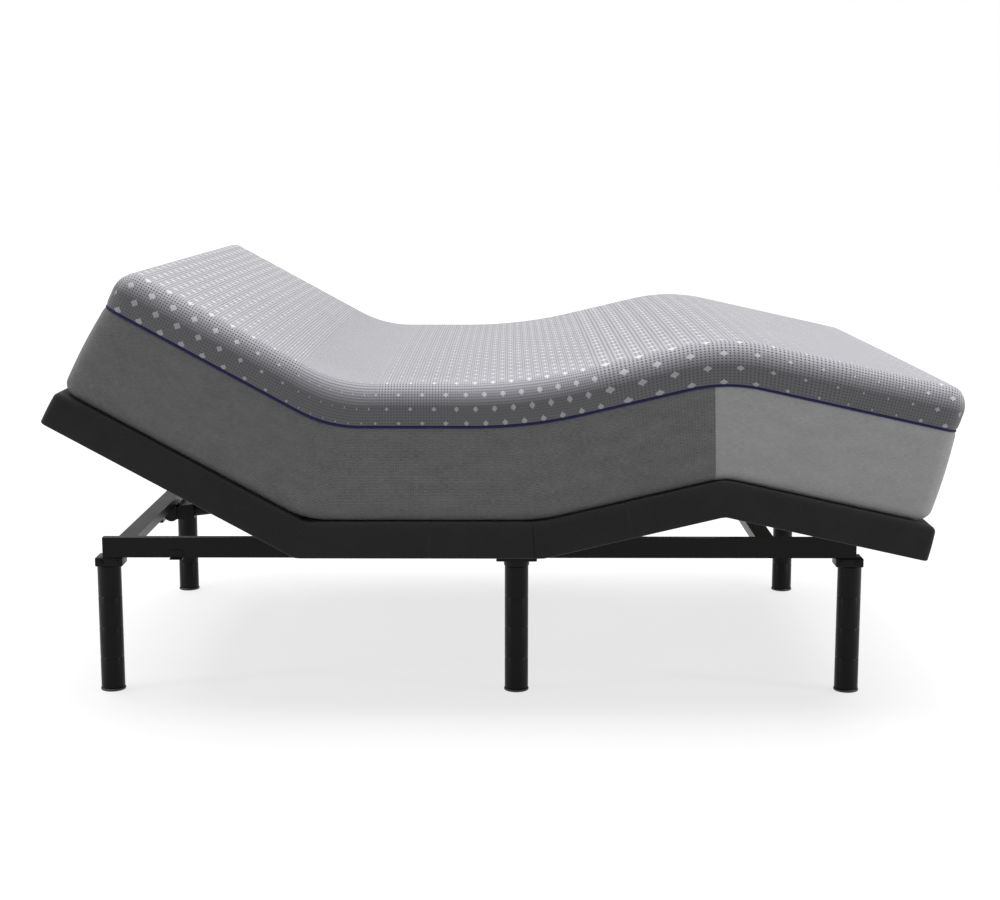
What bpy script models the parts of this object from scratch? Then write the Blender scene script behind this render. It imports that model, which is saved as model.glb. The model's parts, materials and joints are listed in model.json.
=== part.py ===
"""Adjustable bed base with its mattress, posed with the head and the knees raised.

Metres, +Z up. X runs along the bed, head at -X and foot at +X; the bed's left is +Y.
The origin is on the floor, under the middle of the whole bed.
"""
import math

import bmesh
import bpy
from mathutils import Matrix

# Fits
GAP = 0.0003              # between two faces that touch
RUNNING = 0.0004          # round a pin that turns
TIE_ROOM = 0.0012         # extra room where a link's far end follows its pin
HEAD_ROOM = 0.0072        # the same in the head push rod's eye
THIGH_ROOM = 0.0032       # the same in the thigh push rod's eye

# Deck: four sections, head to foot
DECK_WIDTH = 1.524
HEAD_LENGTH = 0.636
SEAT_LENGTH = 0.556
THIGH_LENGTH = 0.410
FOOT_LENGTH = 0.462
BOARD = 0.018
PADDING = 0.062
COVER_SIDE = 0.012        # cover thickness beside the boards
HEAD_BEND_X = -0.470      # before the bed is centred on its origin, as are all places below

# Pose and ranges, degrees
HEAD_REST = 28.7
HEAD_MAX = 55.0
THIGH_REST = 13.3
THIGH_MAX = 30.0
FOOT_REST = 12.5          # below level
SEAM_ANGLE = 0.4          # extra on each mitred end

# Mattress
MATTRESS = 0.310
MATTRESS_INSET = 0.014
FOOT_END_LEAN = 3.0

# Legs
LEG_HEIGHT = 0.305
LEG_RADIUS = 0.028
LEG_RINGS = 4
RING_DEPTH = 0.0012
GLIDE_RADIUS = 0.0295
GLIDE_HEIGHT = 0.006
STUD_RADIUS = 0.005
STUD_HEIGHT = 0.014
LEG_X = (-0.942, 0.025, 0.814)
LEG_Y = 0.504
BRACKET_HEIGHT = 0.0215
BRACKET_LENGTH = 0.065
MIDDLE_PLATE_LENGTH = 0.096
MIDDLE_PLATE = 0.008

# Steel frame
RAIL_HEIGHT = 0.048
RAIL_THICKNESS = 0.020
RAIL_OUTER_Y = 0.530
RAIL_WALL = 0.002
RAIL_FROM_X = -0.951
RAIL_TO_X = 0.824
CROSS_LENGTH = 0.043      # along X
CROSS_HEIGHT = 0.022
CROSS_WALL = 0.002
CROSS_DROP = 0.001        # cross rail tops lie this far under the side rails' tops
HEAD_CROSS_X = -0.8945
MIDDLE_CROSS_X = -0.250
KNEE_CROSS_X = 0.610
FOOT_CROSS_X = 0.802
CLIP_X = -0.7765

# Hinges under the boards
HINGE_DROP = 0.005
KNUCKLE_RADIUS = 0.0045
HINGE_PIN_RADIUS = 0.002
LEAF = 0.0025
LEAF_WIDTH = 0.034
HINGE_LENGTH = 0.900
KNUCKLES = 9

# Head lift: a parallelogram of arms and links, driven through a crank
LIFT_TUBE_RADIUS = 0.0125
LIFT_TUBE_OFFSET = (-0.030, -0.0254)   # from the head hinge axis
LIFT_REACH = (-0.200, -0.028)          # from the hinge to the bracket pin, head flat
ARM_Y = 0.300
ARM_THICKNESS = 0.008
ARM_HEIGHT = 0.024
LINK_THICKNESS = 0.006
CRANK_LENGTH = 0.045
CRANK_FLAT_ANGLE = 8.0                 # above the arm's level, head flat
PIN_RADIUS = 0.006

# Brackets under the boards
BAR = 0.003

# Thigh lever, from the seat hinge axis, thigh flat
LEVER_PIN = (0.030, -0.105)
LEVER_FROM_X = 0.040
LEVER_TO_X = 0.140

# Actuators
HEAD_MOUNT = (-0.886, 0.330)
THIGH_MOUNT = (-0.250, 0.315)
KNOB_RADIUS = 0.020
HOUSING_HALF = 0.022      # half width of the round end
CHEEK = 0.004             # clevis and crank plates
CHEEK_RADIUS = 0.014
OUTER_TUBE_RADIUS = 0.016
ROD_RADIUS = 0.010
EYE_WALL = 0.0045
EYE_HALF = 0.014
MOTOR_RADIUS = 0.018
MOTOR_LENGTH = 0.130
MOTOR_Y = 0.042
HEAD_TUBE_END = 0.310
THIGH_TUBE_END = 0.330
ROD_GRIP = 0.150          # rod length behind the tube's mouth when drawn in
ROD_END_GAP = 0.002       # between the drawn-in rod and the end of its bore

# Tie links that hold the foot section
TIE_FRAME_PIN = (-0.028, -0.033)       # from the seat hinge axis
TIE_FOOT_PIN = (-0.004, -0.016)        # from the knee axis, in the foot section
TIE_Y = 0.490
TIE_HEIGHT = 0.016
TIE_THICKNESS = 0.006
TIE_PIN_RADIUS = 0.004

# Control box
BOX_SIZE = (0.170, 0.095, 0.032)
BOX_PLACE = (-0.120, 0.260)

RAIL_BOTTOM = LEG_HEIGHT + GAP + BRACKET_HEIGHT + GAP
RAIL_TOP = RAIL_BOTTOM + RAIL_HEIGHT
DECK_UNDERSIDE = RAIL_TOP + GAP
DECK = BOARD + PADDING
AXIS_Z = DECK_UNDERSIDE - HINGE_DROP
SEAT_BEND_X = HEAD_BEND_X + SEAT_LENGTH
BOARD_HALF = DECK_WIDTH / 2 - COVER_SIDE - GAP
MATTRESS_HALF = DECK_WIDTH / 2 - MATTRESS_INSET
RAIL_INNER_Y = RAIL_OUTER_Y - RAIL_THICKNESS
HEAD_MITRE = HEAD_MAX / 2 + SEAM_ANGLE
THIGH_MITRE = THIGH_MAX / 2 + SEAM_ANGLE


# ---------------------------------------------------------------- tools
def clear_scene():
    for item in list(bpy.data.objects):
        bpy.data.objects.remove(item)


def material(name, colour, roughness, metallic=0.0):
    made = bpy.data.materials.new(name)
    made.use_nodes = True
    shader = made.node_tree.nodes["Principled BSDF"]
    shader.inputs["Base Color"].default_value = (*colour, 1.0)
    shader.inputs["Roughness"].default_value = roughness
    shader.inputs["Metallic"].default_value = metallic
    return made


def collection(name):
    made = bpy.data.collections.new(name)
    bpy.context.scene.collection.children.link(made)
    return made


def empty(name, parent=None, place=(0, 0, 0), turn=0.0):
    """An axis along Y; turn is in degrees."""
    made = bpy.data.objects.new(name, None)
    made.empty_display_size = 0.05
    parts.objects.link(made)
    made.parent = parent
    made.location = place
    made.rotation_euler = (0, math.radians(turn), 0)
    return made


def add(name, mesh, finish=None, parent=None, place=(0, 0, 0), turn=0.0):
    """A part when it has a finish, otherwise a hidden tool for Boolean modifiers."""
    made = bpy.data.objects.new(name, mesh)
    made.parent = parent
    made.location = place
    made.rotation_euler = (0, math.radians(turn), 0)
    if finish:
        mesh.materials.append(finish)
        parts.objects.link(made)
    else:
        made.hide_render = True
        made.display_type = "WIRE"
        tools.objects.link(made)
    return made


def mesh_from(build):
    mesh = bpy.data.meshes.new("mesh")
    work = bmesh.new()
    build(work)
    work.to_mesh(mesh)
    work.free()
    mesh.shade_smooth()
    mesh.set_sharp_from_angle(angle=math.radians(35))
    return mesh


def block(size, centre=(0, 0, 0)):
    def build(work):
        bmesh.ops.create_cube(work, size=1.0, matrix=Matrix.Translation(centre)
                              @ Matrix.Diagonal((*size, 1.0)))
    return mesh_from(build)


def rod(radius, length, centre=(0, 0, 0), along="Y", sides=20):
    spin = {"X": Matrix.Rotation(math.pi / 2, 4, "Y"), "Y": Matrix.Rotation(math.pi / 2, 4, "X"),
            "Z": Matrix.Identity(4)}[along]

    def build(work):
        bmesh.ops.create_cone(work, cap_ends=True, segments=sides, radius1=radius, radius2=radius,
                              depth=length, matrix=Matrix.Translation(centre) @ spin)
    return mesh_from(build)


def plate(outline, half):
    """A flat outline in X and Z, given its thickness along Y."""
    curve = bpy.data.curves.new("outline", "CURVE")
    curve.dimensions = "2D"
    curve.fill_mode = "BOTH"
    curve.extrude = half
    spline = curve.splines.new("POLY")
    spline.points.add(len(outline) - 1)
    for point, (x, z) in zip(spline.points, outline):
        point.co = (x, z, 0, 1)
    spline.use_cyclic_u = True
    flat = bpy.data.objects.new("outline", curve)
    bpy.context.scene.collection.objects.link(flat)
    bpy.context.view_layer.update()
    mesh = bpy.data.meshes.new_from_object(flat.evaluated_get(bpy.context.evaluated_depsgraph_get()))
    bpy.data.objects.remove(flat)
    mesh.materials.clear()
    work = bmesh.new()
    work.from_mesh(mesh)
    bmesh.ops.remove_doubles(work, verts=work.verts, dist=0.00001)
    bmesh.ops.dissolve_limit(work, angle_limit=0.001, verts=work.verts, edges=work.edges)
    bmesh.ops.rotate(work, verts=work.verts, matrix=Matrix.Rotation(math.pi / 2, 3, "X"))
    bmesh.ops.recalc_face_normals(work, faces=work.faces)
    work.to_mesh(mesh)
    work.free()
    return mesh


def bar_outline(start, end, radius, steps=8):
    """A bar with round ends between two points of the XZ plane."""
    (ax, az), (bx, bz) = start, end
    along = math.atan2(bz - az, bx - ax)
    points = []
    for (cx, cz), first in (((bx, bz), along - math.pi / 2), ((ax, az), along + math.pi / 2)):
        for step in range(steps + 1):
            angle = first + math.pi * step / steps
            points.append((cx + radius * math.cos(angle), cz + radius * math.sin(angle)))
    return points


def boolean(target, tool, operation):
    step = target.modifiers.new(operation.lower(), "BOOLEAN")
    step.operation = operation
    step.object = tool
    return target


def join(target, mesh, place=(0, 0, 0), turn=0.0):
    tool = add(target.name + "_joined", mesh, parent=target, place=place, turn=turn)
    return boolean(target, tool, "UNION")


def cut(target, mesh, place=(0, 0, 0), turn=0.0):
    tool = add(target.name + "_cut", mesh, parent=target, place=place, turn=turn)
    return boolean(target, tool, "DIFFERENCE")


def turned(name, profile, finish, parent, place, sides):
    """A profile of (radius, height) points, top to bottom, turned about Z."""
    mesh = bpy.data.meshes.new(name)
    mesh.from_pydata([(radius, 0, height) for radius, height in profile],
                     [(n, n + 1) for n in range(len(profile) - 1)], [])
    made = add(name, mesh, finish, parent, place)
    screw = made.modifiers.new("turned", "SCREW")
    screw.axis = "Z"
    screw.steps = screw.render_steps = sides
    screw.use_merge_vertices = True
    screw.merge_threshold = 0.00001
    return made


def swung(point, degrees):
    """An (x, z) point turned about Y."""
    angle = math.radians(degrees)
    x, z = point
    return (x * math.cos(angle) + z * math.sin(angle), -x * math.sin(angle) + z * math.cos(angle))


# ---------------------------------------------------------------- legs and frame
def leg_profile():
    """Down the outside: stud, shoulder, ringed tube, then up into the glide's hole."""
    bottom = GLIDE_HEIGHT + GAP
    hole = STUD_RADIUS + 0.003
    points = [(0, LEG_HEIGHT + STUD_HEIGHT), (STUD_RADIUS, LEG_HEIGHT + STUD_HEIGHT),
              (STUD_RADIUS, LEG_HEIGHT), (LEG_RADIUS - RING_DEPTH, LEG_HEIGHT),
              (LEG_RADIUS, LEG_HEIGHT - RING_DEPTH)]
    for ring in range(1, LEG_RINGS):
        height = LEG_HEIGHT * (1 - ring / LEG_RINGS)
        points += [(LEG_RADIUS, height + RING_DEPTH), (LEG_RADIUS - RING_DEPTH, height),
                   (LEG_RADIUS, height - RING_DEPTH)]
    points += [(LEG_RADIUS, bottom), (hole, bottom), (hole, bottom + STUD_HEIGHT),
               (0, bottom + STUD_HEIGHT)]
    return points


def glide_profile():
    stem = STUD_RADIUS + 0.003 - GAP
    top = GLIDE_HEIGHT + STUD_HEIGHT
    return [(0, top), (stem, top), (stem, GLIDE_HEIGHT), (GLIDE_RADIUS - 0.002, GLIDE_HEIGHT),
            (GLIDE_RADIUS, GLIDE_HEIGHT - 0.002), (GLIDE_RADIUS, 0.001),
            (GLIDE_RADIUS - 0.001, 0), (0, 0)]


def make_leg(side, name, x, y):
    turned("leg_" + name, leg_profile(), leg_black, bed, (x, y, 0), 20)
    turned("leg_glide_" + name, glide_profile(), plastic_black, bed, (x, y, 0), 20)
    base = LEG_HEIGHT + GAP
    if x == LEG_X[1]:
        top = block((MIDDLE_PLATE_LENGTH, 2 * LEG_RADIUS, MIDDLE_PLATE),
                    (0, 0, BRACKET_HEIGHT - MIDDLE_PLATE / 2))
        bracket = add("leg_bracket_" + name, top, frame_black, bed, (x, y, base))
        join(bracket, rod(LEG_RADIUS + 0.002, BRACKET_HEIGHT - 0.002,
                          (0, 0, BRACKET_HEIGHT / 2 - 0.001), "Z"))
    else:
        shift = 0.005 if x < 0 else -0.005
        box = block((BRACKET_LENGTH, 2 * LEG_RADIUS, BRACKET_HEIGHT),
                    (shift, side * 0.001, BRACKET_HEIGHT / 2))
        bracket = add("leg_bracket_" + name, box, frame_black, bed, (x, y, base))
    cut(bracket, rod(STUD_RADIUS + GAP, 2 * STUD_HEIGHT + 2 * GAP, (0, 0, 0), "Z", 16))


def make_side_rail(side, name):
    length = RAIL_TO_X - RAIL_FROM_X
    middle = ((RAIL_FROM_X + RAIL_TO_X) / 2, side * (RAIL_OUTER_Y - RAIL_THICKNESS / 2),
              RAIL_BOTTOM + RAIL_HEIGHT / 2)
    rail = add("side_rail_" + name, block((length, RAIL_THICKNESS, RAIL_HEIGHT)), frame_black,
               bed, middle)
    cut(rail, block((length + 0.01, RAIL_THICKNESS - 2 * RAIL_WALL, RAIL_HEIGHT - 2 * RAIL_WALL)))
    # the head lift tube turns in a hole through the inner wall
    tube_x = HEAD_BEND_X + LIFT_TUBE_OFFSET[0] - middle[0]
    tube_z = AXIS_Z + LIFT_TUBE_OFFSET[1] - middle[2]
    inner = -side * (RAIL_THICKNESS / 2 - RAIL_WALL / 2)
    cut(rail, rod(LIFT_TUBE_RADIUS + RUNNING, 3 * RAIL_WALL, (tube_x, inner, tube_z), "Y", 24))
    # stub pin for the tie link
    pin_x = SEAT_BEND_X + TIE_FRAME_PIN[0] - middle[0]
    pin_z = AXIS_Z + TIE_FRAME_PIN[1] - middle[2]
    pin_end = TIE_Y - TIE_THICKNESS / 2
    pin_start = RAIL_INNER_Y + RAIL_WALL / 2
    pin_y = side * (pin_end + pin_start) / 2 - middle[1]
    join(rail, rod(TIE_PIN_RADIUS, pin_start - pin_end, (pin_x, pin_y, pin_z), "Y", 16))
    # small wire clip under the head end
    clip_x = CLIP_X - middle[0]
    clip_y = side * (RAIL_THICKNESS / 2 + 0.0008)
    join(rail, block((0.030, 0.003, 0.020), (clip_x, clip_y, -RAIL_HEIGHT / 2 + 0.008)))
    join(rail, block((0.030, 0.012, 0.0025), (clip_x, side * (RAIL_THICKNESS / 2 + 0.004),
                                              -RAIL_HEIGHT / 2 - 0.002)))


def make_cross_rail(name, x):
    width = 2 * (RAIL_INNER_Y - GAP)
    place = (x, 0, RAIL_TOP - CROSS_DROP - CROSS_HEIGHT / 2)
    rail = add(name, block((CROSS_LENGTH, width, CROSS_HEIGHT)), frame_black, bed, place)
    inside = (CROSS_LENGTH - 2 * CROSS_WALL, width + 0.01, CROSS_HEIGHT - 2 * CROSS_WALL)
    return cut(rail, block(inside))


def add_clevis(rail, mount, back):
    """Two cheeks and a pin under a cross rail, for an actuator's round end."""
    x, z = mount[0] - rail.location.x, mount[1] - rail.location.z
    top = -CROSS_HEIGHT / 2 + 0.001
    arc = [math.pi * (1 + n / 8) for n in range(9)]
    outline = [(x + CHEEK_RADIUS * math.cos(a), z + CHEEK_RADIUS * math.sin(a)) for a in arc]
    outline += [(x + CHEEK_RADIUS, top), (x - CHEEK_RADIUS, top)]
    for side in (-1, 1):
        join(rail, plate(outline, CHEEK / 2), (0, side * (HOUSING_HALF + 0.0005 + CHEEK / 2), 0))
    span = 2 * (HOUSING_HALF + 0.0005 + CHEEK)
    join(rail, rod(PIN_RADIUS, span, (x, 0, z), "Y", 16))
    if back:
        size = (0.027, span, 0.046)
        join(rail, block(size, (x - KNOB_RADIUS - 0.0015 - size[0] / 2, 0, top - size[2] / 2)))


def make_frame():
    for side, side_name in ((-1, "right"), (1, "left")):
        make_side_rail(side, side_name)
        for x, end_name in zip(LEG_X, ("head", "middle", "foot")):
            make_leg(side, end_name + "_" + side_name, x, side * LEG_Y)
    add_clevis(make_cross_rail("head_cross_rail", HEAD_CROSS_X), HEAD_MOUNT, True)
    add_clevis(make_cross_rail("middle_cross_rail", MIDDLE_CROSS_X), THIGH_MOUNT, False)
    make_cross_rail("knee_cross_rail", KNEE_CROSS_X)
    make_cross_rail("foot_cross_rail", FOOT_CROSS_X)
    size = BOX_SIZE
    add("control_box", block(size), plastic_black, bed,
        (BOX_PLACE[0], BOX_PLACE[1], DECK_UNDERSIDE - GAP - size[2] / 2))


# ---------------------------------------------------------------- deck and mattress
def end_at(height, mitre, towards):
    """How far an end stands from its hinge axis at a height above that axis."""
    slope = math.radians(mitre)
    return towards * (height * math.tan(slope) + GAP / math.cos(slope))


def make_slab(name, low, high, left, right, half, finish, parent):
    """left and right are (x, mitre); a mitred end faces a hinge axis at z = 0."""
    outline = []
    for height, order in ((low, (left, right)), (high, (right, left))):
        for x, mitre in order:
            towards = 1 if (x, mitre) == left else -1
            lean = end_at(height, mitre, towards) if mitre is not None else 0.0
            outline.append((x + lean, height))
    return add(name, plate(outline, half), finish, parent)


def make_section(name, parent, left, right, free):
    """left and right: (x, mitre) in the section's frame; free: -1, 0 or 1 for its free end."""
    low, board_top, deck_top = HINGE_DROP, HINGE_DROP + BOARD, HINGE_DROP + DECK

    def drawn_in(inset):
        new_left = (left[0] + inset, None) if free < 0 else left
        new_right = (right[0] - inset, None) if free > 0 else right
        return new_left, new_right

    board = drawn_in(COVER_SIDE + GAP)
    make_slab(name + "_board", low, board_top, *board, BOARD_HALF, plywood, parent)
    cover = make_slab(name + "_cover", low, deck_top, *drawn_in(0), DECK_WIDTH / 2, deck_fabric, parent)
    reach = 0.2
    space_from = left[0] + COVER_SIDE if free < 0 else left[0] - reach
    space_to = right[0] - COVER_SIDE if free > 0 else right[0] + reach
    size = (space_to - space_from, 2 * (BOARD_HALF + GAP), BOARD + 0.01 + GAP)
    cut(cover, block(size, ((space_from + space_to) / 2, 0, board_top + GAP - size[2] / 2)))
    sides = drawn_in(MATTRESS_INSET)
    lean = math.tan(math.radians(FOOT_END_LEAN)) * MATTRESS if free > 0 else 0.0
    base = deck_top + GAP
    piece = make_slab("mattress_" + name, base, base + MATTRESS, *sides, MATTRESS_HALF,
                      mattress_fabric, parent)
    for vertex in piece.data.vertices:
        if lean and vertex.co.z > base + MATTRESS / 2 and vertex.co.x > right[0] / 2:
            vertex.co.x += lean


def make_deck():
    make_section("head", head_pivot, (-HEAD_LENGTH, None), (0, HEAD_MITRE), -1)
    make_section("seat", seat_place, (0, HEAD_MITRE), (SEAT_LENGTH, THIGH_MITRE), 0)
    make_section("thigh", thigh_pivot, (0, THIGH_MITRE), (THIGH_LENGTH, 0.0), 0)
    make_section("foot", knee_pivot, (0, 0.0), (FOOT_LENGTH, None), 1)


def make_hinge(name, holder, holder_x, holder_side, swinging):
    """Two leaves with alternate knuckles; the holder's leaf keeps the pin."""
    pitch = HINGE_LENGTH / KNUCKLES
    top = HINGE_DROP - GAP
    width = LEAF_WIDTH - KNUCKLE_RADIUS
    for leaf_name, parent, x, side, first in (("_fixed_leaf", holder, holder_x, holder_side, 0),
                                              ("_moving_leaf", swinging, 0, -holder_side, 1)):
        flat = block((width, HINGE_LENGTH, LEAF),
                     (side * (KNUCKLE_RADIUS + width / 2), 0, top - LEAF / 2))
        leaf = add(name + leaf_name, flat, steel, parent, (x, 0, 0))
        for n in range(first, KNUCKLES, 2):
            y = -HINGE_LENGTH / 2 + (n + 0.5) * pitch
            join(leaf, rod(KNUCKLE_RADIUS, pitch - 2 * GAP, (0, y, 0), "Y", 12))
            web = (2 * KNUCKLE_RADIUS, pitch - 2 * GAP, LEAF)
            join(leaf, block(web, (side * KNUCKLE_RADIUS, y, KNUCKLE_RADIUS - LEAF / 2)))
        if first == 0:
            join(leaf, rod(HINGE_PIN_RADIUS, HINGE_LENGTH - pitch, (0, 0, 0), "Y", 12))
        else:
            cut(leaf, rod(HINGE_PIN_RADIUS + RUNNING, HINGE_LENGTH, (0, 0, 0), "Y", 12))


# ---------------------------------------------------------------- head lift
def make_lift_arm():
    """Torque tube, two arms and a crank, in the lift axis's frame."""
    half = RAIL_INNER_Y + RAIL_THICKNESS / 2
    arm = add("head_lift_arm", rod(LIFT_TUBE_RADIUS, 2 * half, sides=24), frame_black, lift_pivot)
    stub = LINK_THICKNESS + GAP
    for side in (-1, 1):
        join(arm, plate(bar_outline((0, 0), LIFT_REACH, ARM_HEIGHT / 2), ARM_THICKNESS / 2),
             (0, side * ARM_Y, 0))
        y = side * (ARM_Y + ARM_THICKNESS / 2 + stub / 2 - 0.0005)
        join(arm, rod(PIN_RADIUS, stub + 0.001, (LIFT_REACH[0], y, LIFT_REACH[1]), "Y", 16))
        join(arm, plate(bar_outline((0, 0), CRANK_PIN, CHEEK_RADIUS), CHEEK / 2),
             (0, side * (EYE_HALF + 0.0005 + CHEEK / 2), 0))
    span = 2 * (EYE_HALF + 0.0005 + CHEEK) - 0.001
    join(arm, rod(PIN_RADIUS, span, (CRANK_PIN[0], 0, CRANK_PIN[1]), "Y", 16))
    cut(arm, rod(LIFT_TUBE_RADIUS - 0.002, 2 * half + 0.01, sides=20))


def make_lift_links():
    end = (-LIFT_TUBE_OFFSET[0], -LIFT_TUBE_OFFSET[1])
    for side, side_name in ((-1, "right"), (1, "left")):
        y = side * (ARM_Y + ARM_THICKNESS / 2 + GAP + LINK_THICKNESS / 2)
        link = add("head_lift_link_" + side_name,
                   plate(bar_outline((0, 0), end, ARM_HEIGHT / 2), LINK_THICKNESS / 2),
                   steel, link_pivot, (0, y, 0))
        for x, z in ((0, 0), end):
            cut(link, rod(PIN_RADIUS + RUNNING, 2 * LINK_THICKNESS, (x, 0, z), "Y", 16))


def make_lift_bracket():
    """A flat bar under the head board with a web and a stub pin for each link."""
    x, z = LIFT_REACH
    top = HINGE_DROP - GAP
    web_y = ARM_Y + ARM_THICKNESS / 2 + 2 * GAP + 1.5 * LINK_THICKNESS
    bar = add("head_lift_bracket", block((0.070, 2 * (web_y + 0.010), BAR), (x, 0, top - BAR / 2)),
              frame_black, head_pivot)
    for side in (-1, 1):
        arc = [math.pi * (1 + n / 8) for n in range(9)]
        outline = [(x + 0.012 * math.cos(a), z + 0.012 * math.sin(a)) for a in arc]
        outline += [(x + 0.030, top - BAR / 2), (x - 0.030, top - BAR / 2)]
        join(bar, plate(outline, LINK_THICKNESS / 2), (0, side * web_y, 0))
        stub = LINK_THICKNESS + GAP
        y = side * (web_y - LINK_THICKNESS / 2 - stub / 2 + 0.0005)
        join(bar, rod(PIN_RADIUS, stub + 0.001, (x, y, z), "Y", 16))


def make_thigh_lever():
    """Plates under the thigh board, down to the pin that the actuator pushes."""
    x, z = LEVER_PIN
    top = HINGE_DROP - GAP
    length = LEVER_TO_X - LEVER_FROM_X
    base = add("thigh_lever", block((length, 0.100, BAR), (LEVER_FROM_X + length / 2, 0, top - BAR / 2)),
               frame_black, thigh_pivot)
    arc = [math.pi * (1 + n / 8) for n in range(9)]
    outline = [(x + CHEEK_RADIUS * math.cos(a), z + CHEEK_RADIUS * math.sin(a)) for a in arc]
    outline += [(LEVER_TO_X - 0.015, top - BAR / 2), (LEVER_FROM_X + 0.005, top - BAR / 2)]
    for side in (-1, 1):
        join(base, plate(outline, CHEEK / 2), (0, side * (EYE_HALF + 0.0005 + CHEEK / 2), 0))
    span = 2 * (EYE_HALF + 0.0005 + CHEEK) - 0.001
    join(base, rod(PIN_RADIUS, span, (x, 0, z), "Y", 16))


# ---------------------------------------------------------------- actuators
def make_actuator(name, mount, pin, shortest, tube_end, room):
    """A housing that turns on its rear pin and a rod whose eye holds a crank or lever pin."""
    reach = math.hypot(pin[0] - mount[0], pin[1] - mount[1])
    angle = -math.degrees(math.atan2(pin[1] - mount[1], pin[0] - mount[0]))
    pivot = empty(name + "_axis", bed, (mount[0], 0, mount[1]), angle)
    housing = add(name + "_housing", rod(KNOB_RADIUS, 2 * HOUSING_HALF, sides=28), frame_black, pivot)
    join(housing, block((0.024, 2 * HOUSING_HALF - 0.001, 0.032), (0.020, 0, 0)))
    gearbox = (0.036, MOTOR_Y + MOTOR_RADIUS + 0.004 + HOUSING_HALF, 0.038)
    join(housing, block(gearbox, (0.042, gearbox[1] / 2 - HOUSING_HALF, 0.001)))
    join(housing, rod(OUTER_TUBE_RADIUS, tube_end - 0.055, ((tube_end + 0.055) / 2, 0, 0), "X", 24))
    cut(housing, rod(PIN_RADIUS + RUNNING, 3 * HOUSING_HALF, (0, 0, 0), "Y", 16))
    depth = ROD_GRIP + room + ROD_END_GAP
    cut(housing, rod(ROD_RADIUS + RUNNING, depth + 0.01, (tube_end - depth / 2 + 0.005, 0, 0), "X", 20))
    motor_from = 0.060 + GAP
    add(name + "_motor", rod(MOTOR_RADIUS, MOTOR_LENGTH, (motor_from + MOTOR_LENGTH / 2, MOTOR_Y, 0),
                             "X", 24), plastic_black, pivot)
    length = shortest - tube_end + ROD_GRIP
    bore = PIN_RADIUS + RUNNING + room
    push = add(name + "_push_rod", rod(bore + EYE_WALL, 2 * EYE_HALF, sides=28), steel, pivot, (reach, 0, 0))
    join(push, rod(ROD_RADIUS, length, (-length / 2, 0, 0), "X", 20))
    cut(push, rod(bore, 3 * EYE_HALF, (0, 0, 0), "Y", 24))


def distance(a, b):
    return math.hypot(b[0] - a[0], b[1] - a[1])


def crank_pin_at(raised):
    x, z = swung(CRANK_PIN, raised)
    return (lift_axis[0] + x, lift_axis[1] + z)


def lever_pin_at(raised):
    x, z = swung(LEVER_PIN, -raised)
    return (SEAT_BEND_X + x, AXIS_Z + z)


# ---------------------------------------------------------------- tie links
def make_tie_links():
    start = (SEAT_BEND_X + TIE_FRAME_PIN[0], AXIS_Z + TIE_FRAME_PIN[1])
    ear = swung(TIE_FOOT_PIN, FOOT_REST)
    knee = swung((THIGH_LENGTH, 0), -THIGH_REST)
    end = (SEAT_BEND_X + knee[0] + ear[0] - start[0], AXIS_Z + knee[1] + ear[1] - start[1])
    pivot = empty("tie_link_axis", bed, (start[0], 0, start[1]))
    ear_y = TIE_Y - TIE_THICKNESS - GAP
    for side, side_name in ((-1, "right"), (1, "left")):
        link = add("tie_link_" + side_name,
                   plate(bar_outline((0, 0), end, TIE_HEIGHT / 2), TIE_THICKNESS / 2),
                   steel, pivot, (0, side * TIE_Y, 0))
        cut(link, rod(TIE_PIN_RADIUS + RUNNING, 0.02, (0, 0, 0), "Y", 16))
        cut(link, rod(TIE_PIN_RADIUS + RUNNING + TIE_ROOM, 0.02, (end[0], 0, end[1]), "Y", 16))
        top = HINGE_DROP - GAP
        x, z = TIE_FOOT_PIN
        base = block((0.070, 0.040, BAR), (0.050, 0, top - BAR / 2))
        bracket = add("foot_tie_bracket_" + side_name, base, frame_black, knee_pivot,
                      (0, side * (ear_y - 0.012), 0))
        arc = [math.pi * (0.75 + n / 8) for n in range(8)]
        outline = [(x + TIE_HEIGHT / 2 * math.cos(a), z + TIE_HEIGHT / 2 * math.sin(a)) for a in arc]
        outline += [(0.070, top - BAR / 2), (0.017, top - BAR / 2)]
        join(bracket, plate(outline, TIE_THICKNESS / 2), (0, side * 0.012, 0))
        stub = TIE_THICKNESS + GAP
        y = side * (0.012 + TIE_THICKNESS / 2 + stub / 2 - 0.0005)
        join(bracket, rod(TIE_PIN_RADIUS, stub + 0.001, (x, y, z), "Y", 16))


def centre_on_floor():
    """Move the whole bed so that the origin is under the middle of its box."""
    bpy.context.view_layer.update()
    graph = bpy.context.evaluated_depsgraph_get()
    along = []
    for item in parts.objects:
        if item.type == "MESH":
            shape = item.evaluated_get(graph)
            along += [(shape.matrix_world @ vertex.co).x for vertex in shape.data.vertices]
    bed.location.x = -(min(along) + max(along)) / 2
    bpy.context.view_layer.update()


clear_scene()
parts = collection("adjustable_bed")
tools = collection("cutters")

frame_black = material("frame_black", (0.012, 0.012, 0.013), 0.35, 0.2)
leg_black = material("leg_black", (0.010, 0.010, 0.011), 0.38, 0.2)
plastic_black = material("plastic_black", (0.014, 0.014, 0.015), 0.5)
steel = material("steel", (0.55, 0.55, 0.56), 0.35, 1.0)
plywood = material("plywood", (0.45, 0.32, 0.20), 0.6)
deck_fabric = material("deck_fabric", (0.015, 0.015, 0.016), 0.9)
mattress_fabric = material("mattress_fabric", (0.36, 0.36, 0.38), 0.85)

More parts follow.
